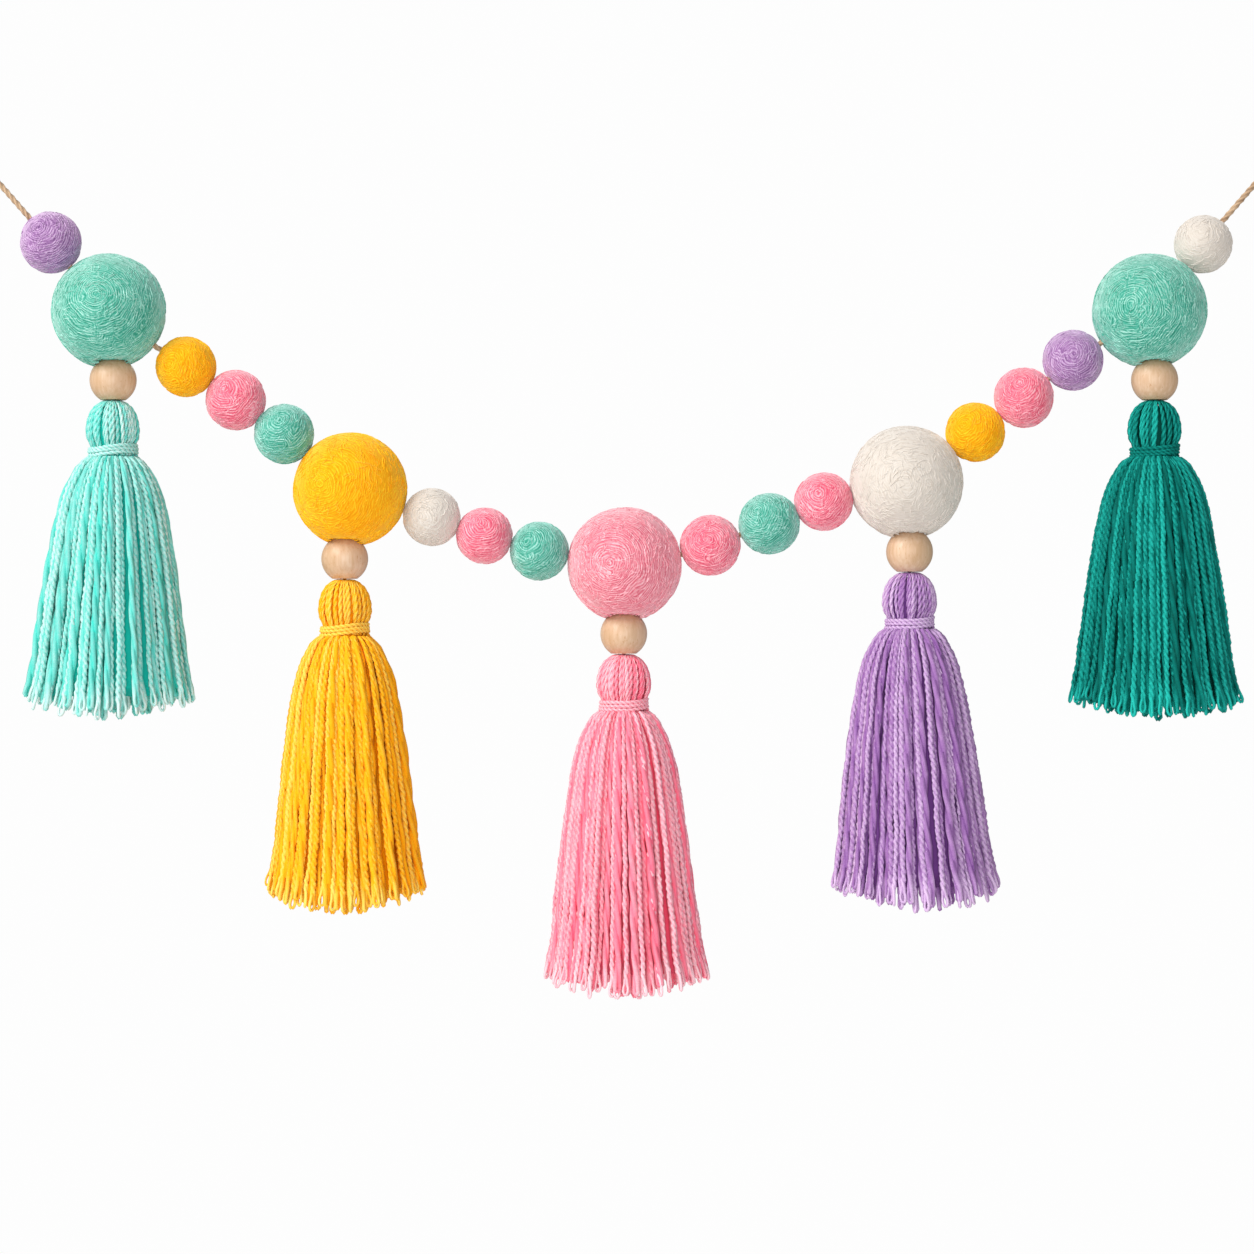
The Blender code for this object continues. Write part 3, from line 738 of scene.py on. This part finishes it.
sparse = {"Ply offset": 0.45, "Twist pitch": 24 * mm, "Crowding": 9 * mm, "Tip loop width": 0.9 * mm}
# What each layer gives the skirt's tree. Ply offset is of the ply's radius: how far its middle is from the
# strand's. Seed is added to the tassel's own.
# The value below 1 for the middle and inner layers darkens their tone: painted shade deep in the tassel.
skirtLayers = {
    "outer": {
        "Strands": 56, "Points": 70, "Ply radius": 0.75 * mm, "Ply offset": 0.5, "Twist pitch": 5.0 * mm,
        "Neck radius": 8.0 * mm, "Wobble": 2.2 * mm, "Palest": 1.0, "Crowding": 2.0 * mm,
        "Shortest trim": 1.2 * mm, "Longest trim": 4.6 * mm, "Tip loop": 5.2 * mm, "Tip loop width": 0.86 * mm,
        "Seed": 0,
    },
    "middle": {
        **sparse, "Strands": 44, "Points": 26, "Ply radius": 1.1 * mm, "Neck radius": 7.5 * mm,
        "Wobble": 1.2 * mm, "Palest": 0.62, "Shortest trim": 2.2 * mm, "Longest trim": 5.4 * mm,
        "Tip loop": 4.5 * mm, "Seed": 3,
    },
    "inner": {
        **sparse, "Strands": 30, "Points": 22, "Ply radius": 1.05 * mm, "Neck radius": 5.2 * mm,
        "Wobble": 2.5 * mm, "Palest": 0.45, "Shortest trim": 1.0 * mm, "Longest trim": 3.8 * mm,
        "Tip loop": 4.0 * mm, "Seed": 5, "Spread": 0.76,
    },
}


# Cotton blend yarn: soft spun, two plies, so it is matt with a little lustre, with painted shade in its grooves.
def yarnMaterial(name):
    material, add = newMaterial(f"spunYarn_{name}")
    coords = add("TexCoord").outputs["Object"]
    tone, fall, crest = [
        add("Attribute", attribute_name=label).outputs["Fac"] for label in ("tone", "fall", "crest")
    ]
    hairs = add("TexNoise", {"Vector": coords, "Scale": 1 / (0.45 * mm), "Detail": 3.0})
    patches = add("TexNoise", {"Vector": coords, "Scale": 1 / (6 * mm), "Detail": 2.0})
    speck = add("Math", [hairs, 0.3, add("Math", [patches, 0.18], "MULTIPLY")], "MULTIPLY_ADD")
    # Paler towards the tips, and darker in the grooves between plies: painted shade.
    tips = add("MapRange", {"Value": fall, "From Min": 0.84, "From Max": 1.0, "To Max": 0.32})
    paintedGrooveShade = add("MapRange", {"Value": crest, "From Min": 0.55, "From Max": 1.0, "To Min": -0.15, "To Max": 0.11})
    twisted = add("Math", [speck, paintedGrooveShade], "ADD")
    toned = add("Math", [tone, 0.6, twisted], "MULTIPLY_ADD")
    shade = add("Math", [toned, tips], "ADD")
    ramp = setRamp(add("ValToRGB", [shade]), (0.3, 0.58, 0.92), yarnTones[name])
    bump = add("Bump", {"Height": hairs, "Strength": 0.3, "Distance": 0.1 * mm})
    return endMaterial(material, {
        "Base Color": ramp, "Normal": bump, "Roughness": 0.8, "Specular IOR Level": 0.1, "Sheen Weight": 0.1,
        "Sheen Roughness": 0.4, "Sheen Tint": toLinear(yarnTones[name][-1]),
    })


# "crest" is 1 on the outside of a twisted strand, and least in the grooves between its plies.
def markCrest(add, tubes, twinned, plyOffset):
    fromCore = add("VectorMath", [add("InputPosition"), twinned["core"]], "DISTANCE")
    reach = add("Math", [twinned["size"], plyOffset, twinned["size"]], "MULTIPLY_ADD")
    crest = add("Math", [fromCore, reach], "DIVIDE")
    return add("StoreNamedAttribute", {"Geometry": tubes, "Name": "crest", "Value": crest})


def skirtTree():
    tree, add, given = newTree("tasselSkirt", {
        "Axis": (0, 0, 0), "Skirt": 90 * mm, "Spread": 1.0, "Lean": 1 * mm, "Sides": skirt["sides"],
        "Side trim": skirt["sideTrim"] * mm, "Layer step": skirt["layerStep"] * mm,
        "Stray": skirt["stray"] * mm, **skirtLayers["outer"], "Material": None,
    })
    points = add("Points", {"Count": given["Strands"]})
    draws = addDraws(add, given, 40.0, skirt["draws"])
    # Every other strand starts nearer the middle, so that the neck has room for all of them.
    index = add("InputIndex")
    odd = add("Math", [index, 2.0], "MODULO")
    layer = add("Math", [odd, draws["layer"]], "ADD")
    spun = add("Math", [index, draws["jitter"]], "ADD")
    angle = add("Math", [add("Math", [spun, given["Strands"]], "DIVIDE"), fullTurn], "MULTIPLY")
    kept = {**draws, "angle": angle, "layer": layer}
    marks = add("CaptureAttribute", {"Geometry": points}, keep=kept).outputs
    # Each strand's tone is scaled by its layer's value, so deeper layers get painted shade.
    toned = add("StoreNamedAttribute", {
        "Geometry": marks["Geometry"], "Name": "tone",
        "Value": add("Math", [draws["tone"], given["Palest"]], "MULTIPLY"),
    })
    line = add("ResampleCurve", {"Curve": add("CurvePrimitiveLine"), "Count": given["Points"]})
    factor = add("SplineParameter").outputs["Factor"]
    measured = add("CaptureAttribute", {"Geometry": line}, keep={"along": factor}).outputs
    planted = add("InstanceOnPoints", {"Points": toned, "Instance": measured["Geometry"]})
    strands = add("RealizeInstances", {"Geometry": planted})
    plies = add("DuplicateElements", {"Geometry": strands, "Amount": 2}, domain="SPLINE").outputs
    # Height above the tip, with its points crowded together where the plies meet.
    crowd = given["Crowding"]
    toSide = add("Math", [add("Math", [marks["angle"]], "COSINE"), 2.0], "POWER")
    shorter = add("Math", [toSide, given["Side trim"], marks["trim"]], "MULTIPLY_ADD")
    length = add("Math", [given["Skirt"], shorter], "SUBTRACT")
    stretch = add("Math", [add("Math", [length, crowd], "ADD"), measured["along"]], "MULTIPLY")
    faded = add("Math", [add("Math", [stretch, crowd], "DIVIDE"), -1.0], "MULTIPLY")
    fade = add("Math", [faded], "EXPONENT")
    above = add("Math", [add("Math", [fade, crowd, stretch], "MULTIPLY_ADD"), crowd], "SUBTRACT")
    depth = add("Math", [length, above], "SUBTRACT")
    share = add("Math", [depth, given["Skirt"]], "DIVIDE")
    # Outline of the skirt: a quick shoulder, then a slow flare.
    outline = setCurve(add("FloatCurve", {"Value": share}), skirt["outline"])
    flare = add("Math", [add("Math", [outline, given["Spread"]], "MULTIPLY"), skirt["reach"] * mm], "MULTIPLY")
    inset = add("Math", [marks["layer"], given["Layer step"]], "MULTIPLY")
    loose = add("MapRange", {"Value": share, "From Min": 0.02, "From Max": 0.6, "To Min": 0.15, "To Max": 1.0})
    # A few strands hang well outside the rest.
    few = add("Math", [add("Math", [marks["stray"], skirt["strayPower"]], "POWER"), loose], "MULTIPLY")
    usual = add("Math", [flare, given["Neck radius"]], "ADD")
    astray = add("Math", [few, given["Stray"], usual], "MULTIPLY_ADD")
    radius = add("Math", [astray, inset], "SUBTRACT")
    # Slow bends, wider towards the tips.
    downward = add("Math", [depth, 1 / (skirt["bendLength"] * mm)], "MULTIPLY")
    course = add("CombineXYZ", [marks["kink"], downward])
    wave = add("TexNoise", {"Vector": course, "Scale": 1.0, "Detail": 2.0, "Roughness": 0.6}).outputs["Color"]
    bends = add("SeparateXYZ", [add("VectorMath", [wave, (0.5, 0.5, 0.5)], "SUBTRACT")]).outputs
    room = add("Math", [loose, given["Wobble"]], "MULTIPLY")
    out = add("Math", [bends["Y"], room, radius], "MULTIPLY_ADD")
    aside = add("Math", [bends["X"], room], "MULTIPLY")
    bearing = add("Math", [add("Math", [aside, out], "DIVIDE"), marks["angle"]], "ADD")
    cosine = add("Math", [bearing], "COSINE")
    sine = add("Math", [bearing], "SINE")
    outward = add("CombineXYZ", [cosine, sine, 0.0])
    sideways = add("CombineXYZ", [add("Math", [sine, -1.0], "MULTIPLY"), cosine, 0.0])
    # Two plies twist round each other, then part and meet again as a loop at the tip.
    twisted = add("Math", [add("Math", [above, given["Tip loop"]], "SUBTRACT"), 0.0], "MAXIMUM")
    turns = add("Math", [twisted, given["Twist pitch"]], "DIVIDE")
    half = add("Math", [plies["Duplicate Index"], 0.5, turns], "MULTIPLY_ADD")
    phase = add("Math", [half, fullTurn, marks["phase"]], "MULTIPLY_ADD")
    fat = setCurve(add("FloatCurve", {"Value": share}), skirt["thickness"])
    fatness = add("Math", [fat, marks["fatness"]], "MULTIPLY")
    size = add("Math", [fatness, given["Ply radius"]], "MULTIPLY")
    loopShare = add("Math", [above, given["Tip loop"]], "DIVIDE")
    teardrop = setCurve(add("FloatCurve", {"Value": loopShare}), skirt["tipLoop"])
    parted = add("Math", [teardrop, given["Tip loop width"]], "MULTIPLY")
    lower = add("Math", [given["Tip loop"], 0.6], "MULTIPLY")
    closing = add("MapRange", {
        "Value": above, "From Min": lower, "From Max": given["Tip loop"],
    }, interpolation_type="SMOOTHSTEP")
    together = add("Math", [add("Math", [size, given["Ply offset"]], "MULTIPLY"), closing], "MULTIPLY")
    split = add("Math", [parted, together], "MAXIMUM")
    across = add("Math", [split, add("Math", [phase], "COSINE")], "MULTIPLY")
    before = add("Math", [split, add("Math", [phase], "SINE"), out], "MULTIPLY_ADD")
    lean = add("Math", [add("Math", [share, skirt["leanPower"]], "POWER"), given["Lean"]], "MULTIPLY")
    sunk = add("CombineXYZ", [lean, 0.0, add("Math", [depth, -1.0], "MULTIPLY")])
    forth, aside, middle = [
        add("VectorMath", pair, "SCALE") for pair in ((outward, before), (sideways, across), (outward, out))
    ]
    spread = add("VectorMath", [forth, aside], "ADD")
    hung, centreLine = [
        add("VectorMath", [add("VectorMath", [course, sunk], "ADD"), given["Axis"]], "ADD")
        for course in (spread, middle)
    ]
    twinned = add("CaptureAttribute", {"Geometry": plies["Geometry"]},
                  keep={"core": centreLine, "size": size}).outputs
    shaped = add("SetPosition", {"Geometry": twinned["Geometry"], "Position": hung})
    marked = add("StoreNamedAttribute", {"Geometry": shaped, "Name": "fall", "Value": share})
    thinned = add("MapRange", {
        "Value": loopShare, "From Min": 0.5, "From Max": 1.1, "To Min": 0.72, "To Max": 1.0,
    })
    tubes = addTubes(add, marked, given["Sides"], add("Math", [size, thinned], "MULTIPLY"))
    endTree(add, markCrest(add, tubes, twinned, given["Ply offset"]), given["Material"])
    return tree


tieYarn = {"Ply radius": 0.6 * mm, "Ply offset": 0.6, "Twist pitch": 3.4 * mm, "Step": 0.6 * mm, "Sides": 5}


# Plied yarn along bare edges, for the ties, heads and wraps.
def yarnTree():
    tree, add, given = newTree("pliedYarn", {"Geometry": None, "Plies": 2, **tieYarn, "Seed": 1, "Material": None})
    curve = add("MeshToCurve", {"Mesh": given["Geometry"]})
    even = add("ResampleCurve", {"Curve": curve, "Length": given["Step"]}, mode="LENGTH")
    toneDraw = add("RandomValue", {"Min": 0.42, "Max": 0.96, "Seed": given["Seed"]})
    toned = add("StoreNamedAttribute", {"Geometry": even, "Name": "tone", "Value": toneDraw}, domain="CURVE")
    startSeed = add("Math", [given["Seed"], 9.0], "ADD")
    startDraw = add("RandomValue", {"Min": 0.0, "Max": fullTurn, "Seed": startSeed})
    started = add("CaptureAttribute", {"Geometry": toned}, keep={"start": startDraw}, domain="CURVE").outputs
    curves = {"Geometry": started["Geometry"], "Amount": given["Plies"]}
    plies = add("DuplicateElements", curves, domain="SPLINE").outputs
    turns = add("Math", [add("SplineParameter").outputs["Length"], given["Twist pitch"]], "DIVIDE")
    step = add("Math", [plies["Duplicate Index"], given["Plies"]], "DIVIDE")
    phase = add("Math", [add("Math", [turns, step], "ADD"), fullTurn, started["start"]], "MULTIPLY_ADD")
    fat = add("InputNamedAttribute", {"Name": "fat"})
    size = add("Math", [given["Ply radius"], fat], "MULTIPLY")
    split = add("Math", [size, given["Ply offset"]], "MULTIPLY")
    normal = add("InputNormal").outputs["Normal"]
    binormal = add("VectorMath", [add("InputTangent"), normal], "CROSS_PRODUCT")
    first = add("Math", [split, add("Math", [phase], "COSINE")], "MULTIPLY")
    second = add("Math", [split, add("Math", [phase], "SINE")], "MULTIPLY")
    offset = add("VectorMath", [
        add("VectorMath", [normal, first], "SCALE"), add("VectorMath", [binormal, second], "SCALE"),
    ], "ADD")
    twinned = add("CaptureAttribute", {"Geometry": plies["Geometry"]},
                  keep={"core": add("InputPosition"), "size": size}).outputs
    shaped = add("SetPosition", {"Geometry": twinned["Geometry"], "Offset": offset})
    tubes = addTubes(add, shaped, given["Sides"], size)
    endTree(add, markCrest(add, tubes, twinned, given["Ply offset"]), given["Material"])
    return tree


head = {
    "strands": 44,
    "yarn": {
        "Ply radius": 0.53 * mm, "Ply offset": 0.5, "Twist pitch": 5.6 * mm, "Step": 0.88 * mm, "Sides": 4,
    },
    "jitter": 0.18,  # of the room between two strands
    "waver": 0.1,  # how far strands lean one way and the other, round the head
    "drift": 0.14,
    "bow": (-0.4, 0.3),
    "fatness": (0.88, 1.12),
    "coreSegments": 20,
    # radius and height of the yarn's middle line above the bottom of the wrap, and its thickness
    "outline": ((1.6, 19.4, 0.35), (3.3, 19.2, 0.45), (4.9, 18.3, 0.56), (6.3, 17.0, 0.7), (7.4, 15.2, 0.85),
                (8.1, 13.0, 0.96), (8.5, 10.8, 1.0), (8.6, 8.6, 1.0), (8.3, 6.6, 0.9), (7.5, 4.9, 0.78),
                (6.9, 3.0, 0.7), (7.1, 0.6, 0.7)),
    "core": ((0.0, 18.0), (4.2, 17.5), (6.2, 15.8), (7.4, 13.2), (7.8, 10.0), (7.3, 7.0), (6.5, 3.6),
             (6.4, -1.0), (6.0, -9.0), (0.0, -12.0)),
}
skirtFill = {
    "neckRadius": 6.2, "spread": 0.91, "end": 0.9, "hollow": 0.6, "rings": 12, "segments": 64, "rib": 0.9,
}
wrap = {
    "yarn": {"Ply radius": 0.52 * mm, "Ply offset": 0.5, "Twist pitch": 3.6 * mm, "Step": 0.65 * mm},
    "turns": 3.3,
    "overlap": 0.3,
    "pointsPerTurn": 40,
    "radius": 7.95,
    "low": 0.7,
    "high": 4.2,
    "stepAt": (0.62, 0.8),  # share of a turn at which the yarn steps up to its next one
    "stepWidth": 0.2,
    "sway": 0.22,
    "waver": (0.12, 2.3),  # mm in and out, and how often in a turn
}


def makeHead(name, axis, tree, yarn, seed):
    rng = np.random.default_rng(seed)
    radii, heights, thickness = (np.array(column) for column in zip(*head["outline"]))
    chains, fat = [], []
    for i in range(head["strands"]):
        start = fullTurn * (i + rng.uniform(-head["jitter"], head["jitter"])) / head["strands"]
        drift = head["waver"] * math.sin(2 * start + seed) + rng.uniform(-head["drift"], head["drift"])
        bow = rng.uniform(*head["bow"])
        chain = []
        for share, radius, height in zip(np.linspace(0, 1, len(radii)), radii, heights):
            turn = start + drift * share
            r = radius + bow * math.sin(math.pi * share)
            chain.append(beside(axis, r, turn, height))
        chains.append(chain)
        fat += list(thickness * rng.uniform(*head["fatness"]))
    piece = growPiece(name, tree, {**head["yarn"], "Seed": seed, "Material": yarn},
                      edgeChains(name + "Lines", chains, fat))
    addCore(piece, axis, head["core"], head["coreSegments"])
    return piece


# A plain core closes the gaps between strands. Its faces carry no tone or crest, so the yarn's material gives them
# its deepest tone: painted shade inside the tassel.
def addCore(piece, axis, outline, segments, rib=0.0):
    bm = bmesh.new()
    bm.from_mesh(piece.data)
    rings = turnRings(bm, axis, outline, segments, rib)
    for first, second in zip(rings, rings[1:]):
        for i in range(segments):
            j = (i + 1) % segments
            corners = [ring[k % len(ring)] for ring, k in ((second, i), (second, j), (first, j), (first, i))]
            bm.faces.new(list(dict.fromkeys(corners))).smooth = True
    bm.to_mesh(piece.data)
    bm.free()


# The core of a skirt follows the skirt's outline well inside its strands, and is hollow underneath.
def skirtCore(length, spread, lean):
    outline = [(0.0, -1.0, 0.0)]
    for share in np.linspace(0.02, skirtFill["end"], skirtFill["rings"]):
        flare = np.interp(share, *zip(*skirt["outline"])) * skirt["reach"] * spread
        outline.append((skirtFill["neckRadius"] + skirtFill["spread"] * flare, -share * length,
                        lean * share ** skirt["leanPower"]))
    hollow = skirtFill["hollow"]
    return outline + [(0.0, -hollow * length, lean * hollow ** skirt["leanPower"])]


def makeWrap(name, axis, tree, yarn, seed):
    rng = np.random.default_rng(seed)
    waver, rate = wrap["waver"]
    front = rng.uniform(*wrap["stepAt"])
    sway = [(rng.uniform(-wrap["sway"], wrap["sway"]), rng.uniform(0, fullTurn)) for _ in range(5)]
    chain = []
    for i in range(int(wrap["pointsPerTurn"] * wrap["turns"]) + 1):
        turn = i / wrap["pointsPerTurn"]
        # The yarn lies nearly level round the neck and steps up to its next turn near the front.
        level = math.floor(turn) + min(1, max(0, (turn % 1 - front) / wrap["stepWidth"]))
        share = level / (wrap["turns"] - wrap["overlap"])
        angle = fullTurn * turn
        tilt, start = sway[int(turn)]
        ease = min(1, 4 * (turn % 1), 4 * (1 - turn % 1))
        height = wrap["low"] + (wrap["high"] - wrap["low"]) * share + tilt * math.sin(angle + start) * ease
        r = wrap["radius"] + waver * math.sin(rate * angle + seed)
        chain.append(beside(axis, r, angle, height))
    return growPiece(name, tree, {**wrap["yarn"], "Seed": seed, "Material": yarn},
                     edgeChains(name + "Line", [chain]))


def makeTassels():
    skirts, yarns, wood = skirtTree(), yarnTree(), beechMaterial()
    places = {name: (across, drop) for name, _, _, across, drop in feltBalls}
    for name, colour, ball, offset, length, spread, lean, seed in tassels:
        across, drop = places[ball]
        beadCentre = place(across + offset, drop + beadSize["drop"])
        yarn, slot = yarnMaterial(colour), colour + "_yarn"
        settle(makeBead(f"turnedBead_{name}", beadCentre, wood), "beech", f"bead_{name}")
        headTop = beadCentre.z - (beadSize["height"] / 2 + gap) * mm
        axis = Vector((beadCentre.x, 0, headTop - (headHeight + wrapHeight) * mm))
        common = {"Axis": axis, "Skirt": length * mm, "Spread": spread, "Lean": lean * mm, "Material": yarn}
        for layer, values in skirtLayers.items():
            piece = growPiece(f"{layer}Strands_{name}", skirts, {
                **common, **values, "Seed": 7 * seed + values["Seed"],
            })
            if layer == "inner":
                addCore(piece, axis, skirtCore(length, spread, lean), skirtFill["segments"], skirtFill["rib"])
            settle(piece, slot, f"tassel_{name}")
        settle(makeHead(f"tasselHead_{name}", axis, yarns, yarn, seed), slot, f"tassel_{name}")
        settle(makeWrap(f"neckWrap_{name}", axis, yarns, yarn, seed), slot, f"wrap_{name}")
        low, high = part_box(f"tie_{name}")
        line = edgeChains("tieLine", [[Vector((beadCentre.x, 0, z)) for z in np.linspace(low[2], high[2], 12)]])
        tie = growPiece(f"tieYarn_{name}", yarns, {"Seed": seed, "Material": yarn}, line)
        settle(tie, slot, f"tie_{name}")
        print("tassel", name, "ready")


makeTassels()

added = {}
for piece in bpy.data.objects:
    if piece.type == "MESH" and "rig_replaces" in piece:
        piece.data.calc_loop_triangles()
        added[piece.name] = len(piece.data.loop_triangles)
print("triangles added:", sum(added.values()), "most:", max(added.values()), max(added, key=added.get))
